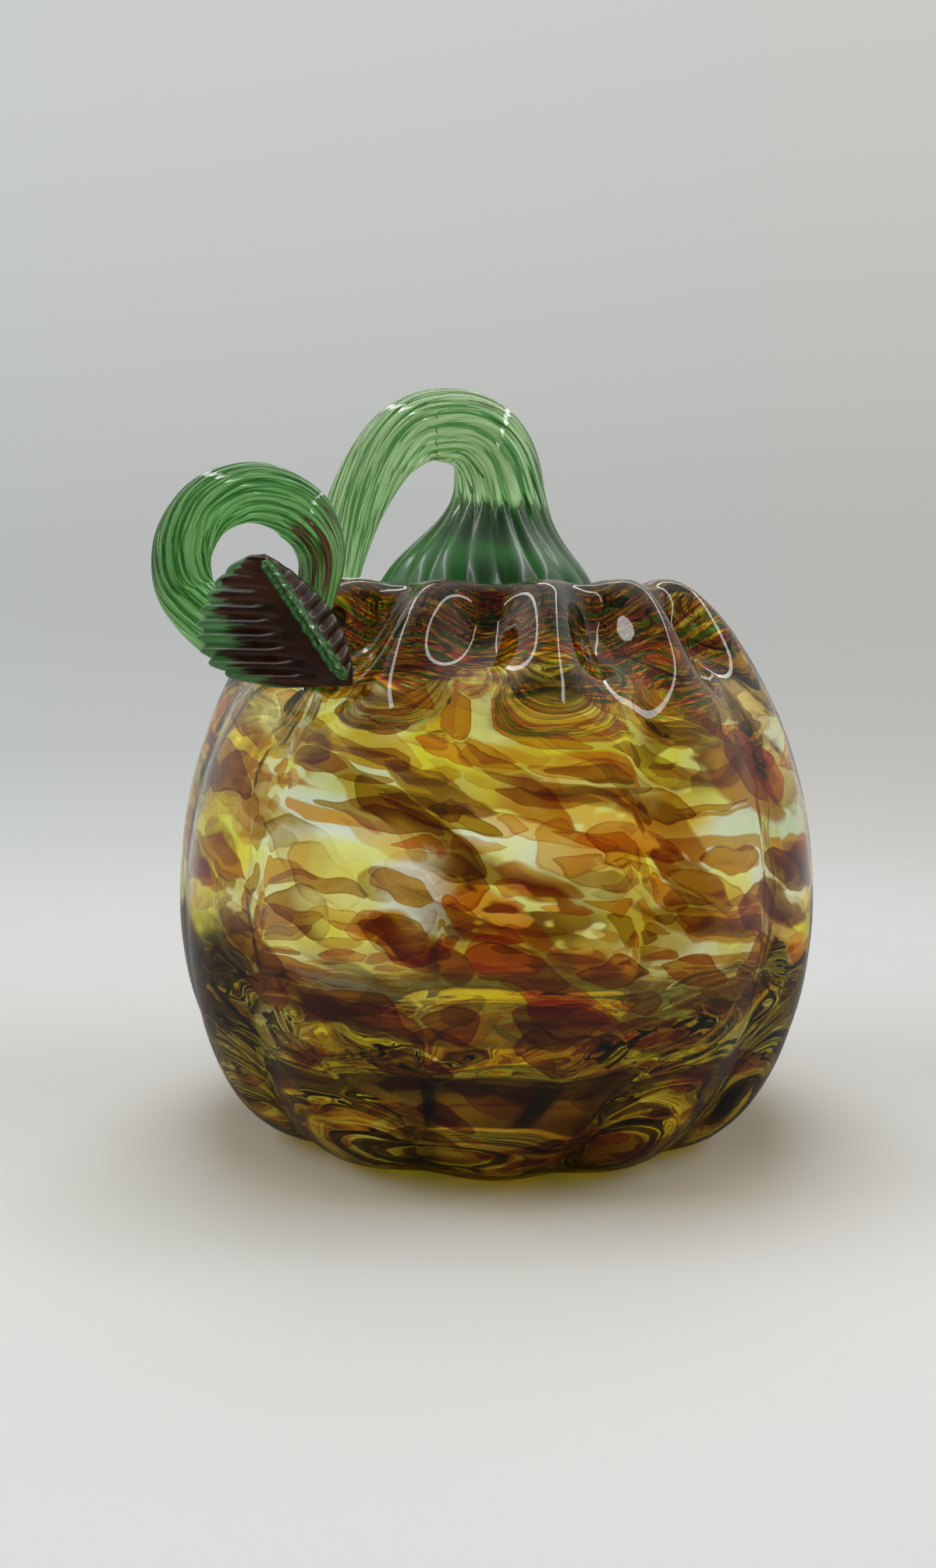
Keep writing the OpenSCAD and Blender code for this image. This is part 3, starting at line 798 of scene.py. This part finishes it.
def makeBodyMaterial():
    look = bodyLook
    material, tree, shader = glassMaterial("bodyGlass", look["plain"])

    def zone(value, key):
        return between(tree, value, *look[key])

    def stretched(key):
        return vector(tree, "MULTIPLY", place, look[key])

    place = objectPlace(tree)
    warp = vector(tree, "SUBTRACT", cloud(tree, place, look["warpScale"], out=1), (0.5, 0.5, 0.5))
    x, y, _ = parts(tree, vector(tree, "ADD", place, scaled(tree, warp, look["warp"])))
    angle = calc(tree, "ARCTAN2", x, times(tree, y, -1.0))
    girth = calc(tree, "MULTIPLY_ADD", angle, 0.5 / math.pi, 0.5)
    climbed, fold, lining = [attribute(tree, name) for name in ("climb", "fold", "lining")]
    climb = calc(tree, "MULTIPLY_ADD", parts(tree, warp)[2], look["climbWarp"], climbed)

    # outer wall: pale ground, windows, chips, stains and two patches of painted shade, then the streaks
    # above, and below the dark tints and the painted shade along the folds
    mottle = cloud(tree, stretched("groundStretch"), look["groundScale"], look["groundDetail"])
    outer = ramp(tree, mottle, wallStops("ground"))
    swayed = vector(tree, "ADD", place, scaled(tree, warp, look["sway"]))
    keep = 1.0
    for *area, ground, left in look["windows"]:
        near = nearSpot(tree, swayed, *area)
        outer = blend(tree, "MIX", near, outer, oneWall(ground))
        keep = times(tree, keep, calc(tree, "MULTIPLY_ADD", near, left - 1, 1.0))
    outer = chipped(tree, girth, climb, x, outer, look["outerChips"], keep)
    smear = zone(cloud(tree, stretched("smearStretch"), look["smearScale"]), "smearFrom")
    # tinted patches: stains, except the two low dark ones at the edges, which are painted shade
    for *area, patchTint in look["stainsAndShade"]:
        near = times(tree, nearSpot(tree, swayed, *area), smear)
        outer = blend(tree, "MULTIPLY", near, outer, oneWall(patchTint))
    fingers = cloud(tree, stretched("fingerStretch"), look["fingerScale"], look["fingerDetail"])
    reach = calc(tree, "MULTIPLY_ADD", calc(tree, "SUBTRACT", fingers, 0.5), look["fingers"], climb)
    outer = blend(tree, "MIX", zone(reach, "streakFrom"), outer, shoulderStreaks(tree, place, climbed))
    low = zone(climb, "lowFrom")
    patch = zone(cloud(tree, place, look["patchScale"]), "patchFrom")
    tints = {
        "lowTint": low, "footRim": times(tree, zone(climbed, "footRimFrom"), zone(climbed, "footRimTo")),
        "lowPatch": times(tree, low, patch),
        # painted shade along the folds, low on the wall and under the base
        "foldLine": times(tree, zone(fold, "foldLineAt"), zone(climbed, "foldLineFrom")),
        "star": times(tree, zone(fold, "starAt"), zone(climbed, "starFrom")),
    }
    for key, share in tints.items():
        outer = blend(tree, "MULTIPLY", share, outer, oneWall(look[key]))

    inner = blend(tree, "MIX", zone(climbed, "liningFrom"), oneWall(look["lining"]),
                  oneWall(look["liningFloor"]))
    inner = chipped(tree, girth, climb, x, inner, look["innerChips"])
    tint = blend(tree, "MIX", lining, outer, inner)
    feed(tree, shader.inputs["Base Color"], tint)
    letLampsThrough(tree, shader, blend(tree, "MIX", look["glowShare"], tint, oneWall(look["glow"])))
    volume = tree.nodes.new("ShaderNodeVolumeAbsorption")   # thick glass is darker than thin
    depth = wire(tree, volume, colour(look["absorb"]), look["absorbDensity"])[0]
    tree.links.new(depth, tree.nodes["Material Output"].inputs["Volume"])
    return material


caneLook = {
    "transmission": 0.9, "grooveWave": (0.42, 0.04), "crestWave": (0.90, 0.99), "grooveShare": 0.85,
    "shadeScale": 3.6, "hairScale": 11.0, "rough": 0.6,
    "crestHair": (0.53, 0.59), "grooveHair": (0.465, 0.41),
}


def makeCaneGroup():
    # lines along a twisted cane: its grooves, the ribs' crests, a shade that differs from rib to rib, hairs
    look = caneLook
    tree, given, out = newGroup("caneLines", "Map Ribs Stretch", "Groove Crest Shade Hair")
    u, v, _ = parts(tree, given["Map"])
    wave = calc(tree, "SINE", times(tree, times(tree, u, math.pi), given["Ribs"]))
    wave = calc(tree, "ABSOLUTE", wave)
    for label, key in (("Groove", "grooveWave"), ("Crest", "crestWave")):
        feed(tree, out[label], between(tree, wave, *look[key]))
    turn = times(tree, u, 2 * math.pi)
    ring = joined(tree, calc(tree, "COSINE", turn), calc(tree, "SINE", turn),
                  times(tree, v, given["Stretch"]))
    for label, key in (("Shade", "shadeScale"), ("Hair", "hairScale")):
        feed(tree, out[label], cloud(tree, ring, look[key], rough=look["rough"]))
    return tree


caneGroup = makeCaneGroup()
stemLook = {
    "shades": [(0.34, (0.18, 0.42, 0.12)), (0.45, (0.42, 0.68, 0.28)), (0.56, (0.54, 0.78, 0.36)),
               (0.66, (0.24, 0.50, 0.17))],
    # crest: the pale lines' tint; where it is laid along the ribs' crests it is partly painted highlight
    "groove": (0.04, 0.20, 0.035), "crest": (0.78, 0.93, 0.62), "far": (0.26, 0.46, 0.18), "stretch": 0.5,
    "foot": (0.012, 0.15, 0.012), "footEnd": (0.322, 0.272), "hairJag": 0.08, "shadeJag": 0.12,
    "milky": 0.32, "gloss": 0.3,
}
tendrilLook = {
    "shades": [(0.34, (0.028, 0.18, 0.025)), (0.45, (0.09, 0.33, 0.06)), (0.56, (0.22, 0.52, 0.15)),
               (0.66, (0.05, 0.25, 0.04))],
    # crest: the pale lines' tint; where it is laid along the ribs' crests it is partly painted highlight
    "groove": (0.015, 0.11, 0.015), "crest": (0.58, 0.86, 0.44), "far": (0.07, 0.24, 0.045), "stretch": 0.55,
    "brown": (0.10, 0.022, 0.012), "brownAt": 0.84, "brownHalf": (0.095, 0.06), "brownShade": (0.49, 0.53),
}


def makeCaneMaterial(name, look):
    material, tree, shader = glassMaterial(name, look["shades"][1][1], transmission=caneLook["transmission"])
    coords = tree.nodes.new("ShaderNodeTexCoord")
    v = parts(tree, coords.outputs["UV"])[1]
    line = useGroup(tree, caneGroup, Map=coords.outputs["UV"], Ribs=float(caneForm["ribs"]),
                    Stretch=look["stretch"])
    tint = ramp(tree, line["Shade"], look["shades"])
    side = tree.nodes.new("ShaderNodeNewGeometry")   # the far side is plain, so the lines don't cross
    for key, share in (("groove", times(tree, line["Groove"], caneLook["grooveShare"])),
                       # along the ribs' crests the pale tint is partly the cane's own pale lines and partly
                       # painted highlight
                       ("crest", times(tree, line["Crest"], line["Shade"])),
                       ("crest", between(tree, line["Hair"], *caneLook["crestHair"])),
                       ("groove", between(tree, line["Hair"], *caneLook["grooveHair"])),
                       ("far", side.outputs["Backfacing"])):
        tint = blend(tree, "MIX", share, tint, look[key])
    if "foot" in look:   # deep green foot, its edge jagged from rib to rib
        jag = calc(tree, "MULTIPLY_ADD", line["Hair"], look["hairJag"],
                   times(tree, line["Shade"], look["shadeJag"]))
        foot = between(tree, calc(tree, "ADD", v, jag), *look["footEnd"])
        tint = blend(tree, "MIX", foot, tint, look["foot"])
        # milky inside, glossy on top
        feed(tree, shader.inputs["Roughness"], times(tree, foot, look["milky"]))
        shader.inputs["Coat Weight"].default_value = look["gloss"]
    if "brown" in look:   # smears of the leaf's brown where they met
        away = calc(tree, "ABSOLUTE", calc(tree, "SUBTRACT", v, look["brownAt"]))
        near = between(tree, away, *look["brownHalf"])
        some = between(tree, line["Shade"], *look["brownShade"])
        tint = blend(tree, "MIX", times(tree, near, some), tint, look["brown"])
    feed(tree, shader.inputs["Base Color"], tint)
    letLampsThrough(tree, shader, tint)
    return material


leafLook = {
    "plain": (0.1, 0.03, 0.015), "roughness": 0.26, "transmission": 0.6,
    "brown": [(0.3, (0.025, 0.006, 0.002)), (0.6, (0.09, 0.027, 0.009))],
    "brownScale": 0.25, "brownDetail": 3.0, "edge": (0.20, 0.44, 0.18), "edgeFrom": (0.77, 0.83),
    "fingers": 0.44, "fingerGrain": (26.0, 2.0, 0.0),
}


def makeLeafMaterial():
    look = leafLook
    material, tree, shader = glassMaterial(
        "leafGlass", look["plain"], look["roughness"], look["transmission"])
    coords = tree.nodes.new("ShaderNodeTexCoord")
    u, v, _ = parts(tree, coords.outputs["UV"])
    # 0 at the folded-back edge, 1 at the front edge
    across = calc(tree, "PINGPONG", times(tree, u, 2.0), 1.0)
    grain = vector(tree, "MULTIPLY", joined(tree, v, across, 0.0), look["fingerGrain"])
    ridge = cloud(tree, grain, 1.0)
    reach = calc(tree, "MULTIPLY_ADD", calc(tree, "SUBTRACT", ridge, 0.5), look["fingers"], across)
    edge = between(tree, reach, *look["edgeFrom"])
    brown = ramp(tree, cloud(tree, objectPlace(tree), look["brownScale"], look["brownDetail"]), look["brown"])
    feed(tree, shader.inputs["Base Color"], blend(tree, "MIX", edge, brown, look["edge"]))
    return material


beadLook = {
    "crack": (0.012, 0.07, 0.018), "green": (0.16, 0.50, 0.10), "grain": 0.75, "crackEdge": (0.02, 0.12),
    "roughness": 0.05, "transmission": 0.7,
}


def makeBeadMaterial():
    look = beadLook
    material, tree, shader = glassMaterial(
        "beadGlass", look["green"], look["roughness"], look["transmission"])
    cells = tree.nodes.new("ShaderNodeTexVoronoi")
    cells.feature = "DISTANCE_TO_EDGE"
    cells.inputs["Scale"].default_value = look["grain"]
    feed(tree, cells.inputs["Vector"], objectPlace(tree))
    lump = between(tree, cells.outputs["Distance"], *look["crackEdge"])
    feed(tree, shader.inputs["Base Color"], blend(tree, "MIX", lump, look["crack"], look["green"]))
    return material


body = makeBody()
body.data.materials.append(makeBodyMaterial())
print("body blown and ribbed:", len(body.data.polygons), "faces")
stem = makeStem()
stem.data.materials.append(makeCaneMaterial("stemGlass", stemLook))
print("stem drawn:", len(stem.data.polygons), "faces")
tendril = makeTendril()
tendril.data.materials.append(makeCaneMaterial("tendrilGlass", tendrilLook))
print("tendril curled:", len(tendril.data.polygons), "faces")
leaf = makeLeaf()
leaf.data.materials.append(makeLeafMaterial())
bead = makeBead()
bead.data.materials.append(makeBeadMaterial())
print("leaf pressed:", len(leaf.data.polygons) + len(bead.data.polygons), "faces")
for piece, node, slot in ((body, "body", "body_glass"), (stem, "stem", "stem_glass"),
                          (tendril, "tendril", "tendril_glass"), (leaf, "leaf", "leaf_glass"),
                          (bead, "leaf_bead", "bead_glass")):
    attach(piece, "root")
    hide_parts(node)


# studio, in metres: a pale floor that fades into the tent's walls, three strips that the glass mirrors
# and four soft lamps for the floor
studio = {
    "floorRadius": 0.9, "floorSides": 96, "floorZ": -0.0004, "floorRoughness": 0.9, "floorSheen": 0.1,
    # shadedFarColour and dimFrom paint the floor darker from beside the object backwards: painted shade
    "floorColour": (0.80, 0.80, 0.79), "shadedFarColour": (0.675, 0.675, 0.665), "dimFrom": (-0.11, 0.03),
    "fade": (0.24, 0.50), "mirroredFloor": 0.3,
    "stripHeight": 0.8, "stripHalf": (0.5, 0.6), "stripWidth": 0.075, "stripRadiance": 6.5,
    "softSize": 0.7,
    "softLamps": [((0, 0, 1.2), 3.6), ((-0.9, 0, 0.6), 4.4), ((0.9, 0, 0.6), 3.8), ((0, 0.5, 1.05), 5.2)],
    # how bright the tent is from straight down at -1 to straight up at 1, and its tint on the left and right
    "levels": [(-1.0, 0.68), (-0.22, 0.68), (-0.154, 0.61), (-0.10, 0.525), (-0.03, 0.485), (0.02, 0.48),
               (0.10, 0.52), (0.20, 0.565), (0.31, 0.605), (0.6, 0.78), (1.0, 0.7)],
    "levelBlue": 0.99, "sideTints": [(0.36, (0.99, 1.03, 1.035)), (0.64, (0.97, 0.97, 0.935))],
    "ambient": 0.16, "frontDark": 0.15, "frontFrom": (0.2, -0.5), "throughGlass": 1.28,
    "cameraAt": (-0.007, -0.400, 0.130), "cameraDown": 7.06, "lens": 38.02, "sensor": 36, "clipStart": 0.01,
}


def mirrored(tree, path):
    # clear glass marks its refracted rays as glossy too
    return times(tree, path.outputs["Is Glossy Ray"],
                 calc(tree, "SUBTRACT", 1.0, path.outputs["Is Transmission Ray"]))


def makeFloor():
    f = studio
    startPiece()
    bpy.ops.mesh.primitive_circle_add(vertices=f["floorSides"], radius=f["floorRadius"],
                                      fill_type="NGON", location=(0, 0, f["floorZ"]))
    floor = bpy.context.object
    floor.name = "paleFloor"
    material, tree, shader = newMaterial("paleFloor")
    path = tree.nodes.new("ShaderNodeLightPath")   # the glass mirrors the floor only faintly
    coords = tree.nodes.new("ShaderNodeTexCoord")
    away = vector(tree, "LENGTH", coords.outputs["Object"])
    # from just in front of the object backwards the floor is painted darker: painted shade of the object's
    # soft shadow at its sides and of the dimmer far floor
    behind = between(tree, parts(tree, coords.outputs["Object"])[1], *f["dimFrom"])
    pale = blend(tree, "MIX", behind, f["floorColour"], f["shadedFarColour"])
    feed(tree, shader.inputs["Base Color"], blend(
        tree, "MULTIPLY", mirrored(tree, path), pale, (f["mirroredFloor"],) * 3))
    shader.inputs["Roughness"].default_value = f["floorRoughness"]
    shader.inputs["Specular IOR Level"].default_value = f["floorSheen"]
    feed(tree, shader.inputs["Alpha"], between(tree, away, *f["fade"], 1.0, 0.0))
    floor.data.materials.append(material)


def makeWorld():
    f = studio
    world = bpy.data.worlds.new("lightTent")
    bpy.context.scene.world = world
    world.use_nodes = True
    tree = world.node_tree
    coords = tree.nodes.new("ShaderNodeTexCoord")
    x, y, z = parts(tree, coords.outputs["Generated"])
    levels = [(0.5 + at / 2, (v, v, v * f["levelBlue"])) for at, v in f["levels"]]
    grey = ramp(tree, calc(tree, "MULTIPLY_ADD", z, 0.5, 0.5), levels)
    side = ramp(tree, calc(tree, "MULTIPLY_ADD", x, 0.5, 0.5), f["sideTints"])
    feed(tree, tree.nodes["Background"].inputs["Color"], blend(tree, "MULTIPLY", 1.0, grey, side))
    # what is seen, straight or through the glass, is the pale tent; what lights the floor is dimmer
    path = tree.nodes.new("ShaderNodeLightPath")
    through = path.outputs["Is Transmission Ray"]
    front = times(tree, between(tree, y, *f["frontFrom"]), mirrored(tree, path))
    shade = times(tree, front, 1 - f["frontDark"])
    seen = calc(tree, "MAXIMUM", path.outputs["Is Camera Ray"],
                calc(tree, "MAXIMUM", path.outputs["Is Glossy Ray"], through))
    level = calc(tree, "MULTIPLY_ADD", seen, 1 - f["ambient"], f["ambient"])
    level = calc(tree, "MULTIPLY_ADD", through, f["throughGlass"] - 1, level)
    feed(tree, tree.nodes["Background"].inputs["Strength"], calc(tree, "SUBTRACT", level, shade))


def makeLamps():
    f = studio
    halfX, halfY = f["stripHalf"]
    strips = (("back", 0, halfY, 2 * halfX, 0), ("left", -halfX, 0, 2 * halfY, 90),
              ("right", halfX, 0, 2 * halfY, 90))
    for name, x, y, length, turn in strips:
        bpy.ops.object.light_add(type="AREA", location=(x, y, f["stripHeight"]))
        lamp = bpy.context.object
        lamp.name = name + "Strip"
        lamp.rotation_euler = (0, 0, math.radians(turn))
        lamp.data.shape = "RECTANGLE"
        lamp.data.size, lamp.data.size_y = length, f["stripWidth"]
        lamp.data.energy = f["stripRadiance"] * math.pi * length * f["stripWidth"]
        lamp.visible_diffuse = lamp.visible_transmission = False   # only mirrored
    for i, (place, power) in enumerate(f["softLamps"]):
        aim = Vector(place).to_track_quat("Z", "Y").to_euler()
        bpy.ops.object.light_add(type="AREA", location=place, rotation=aim)
        lamp = bpy.context.object
        lamp.name = f"softLamp{i + 1}"
        lamp.data.size = f["softSize"]
        lamp.data.energy = power
        lamp.visible_glossy = lamp.visible_transmission = lamp.visible_camera = False


def makeCamera():
    f = studio
    bpy.ops.object.camera_add(location=f["cameraAt"],
                              rotation=(math.radians(90 - f["cameraDown"]), 0, 0))
    camera = bpy.context.object
    camera.name = "photoCamera"
    camera.data.lens = f["lens"]
    camera.data.sensor_width = f["sensor"]
    camera.data.clip_start = f["clipStart"]
    bpy.context.scene.camera = camera


makeFloor()
makeWorld()
makeLamps()
makeCamera()
scene = bpy.context.scene
scene.view_settings.view_transform = "Standard"
scene.cycles.max_bounces = 32
scene.cycles.transmission_bounces = 32
scene.cycles.glossy_bounces = 12
scene.cycles.transparent_max_bounces = 16
print("studio set")
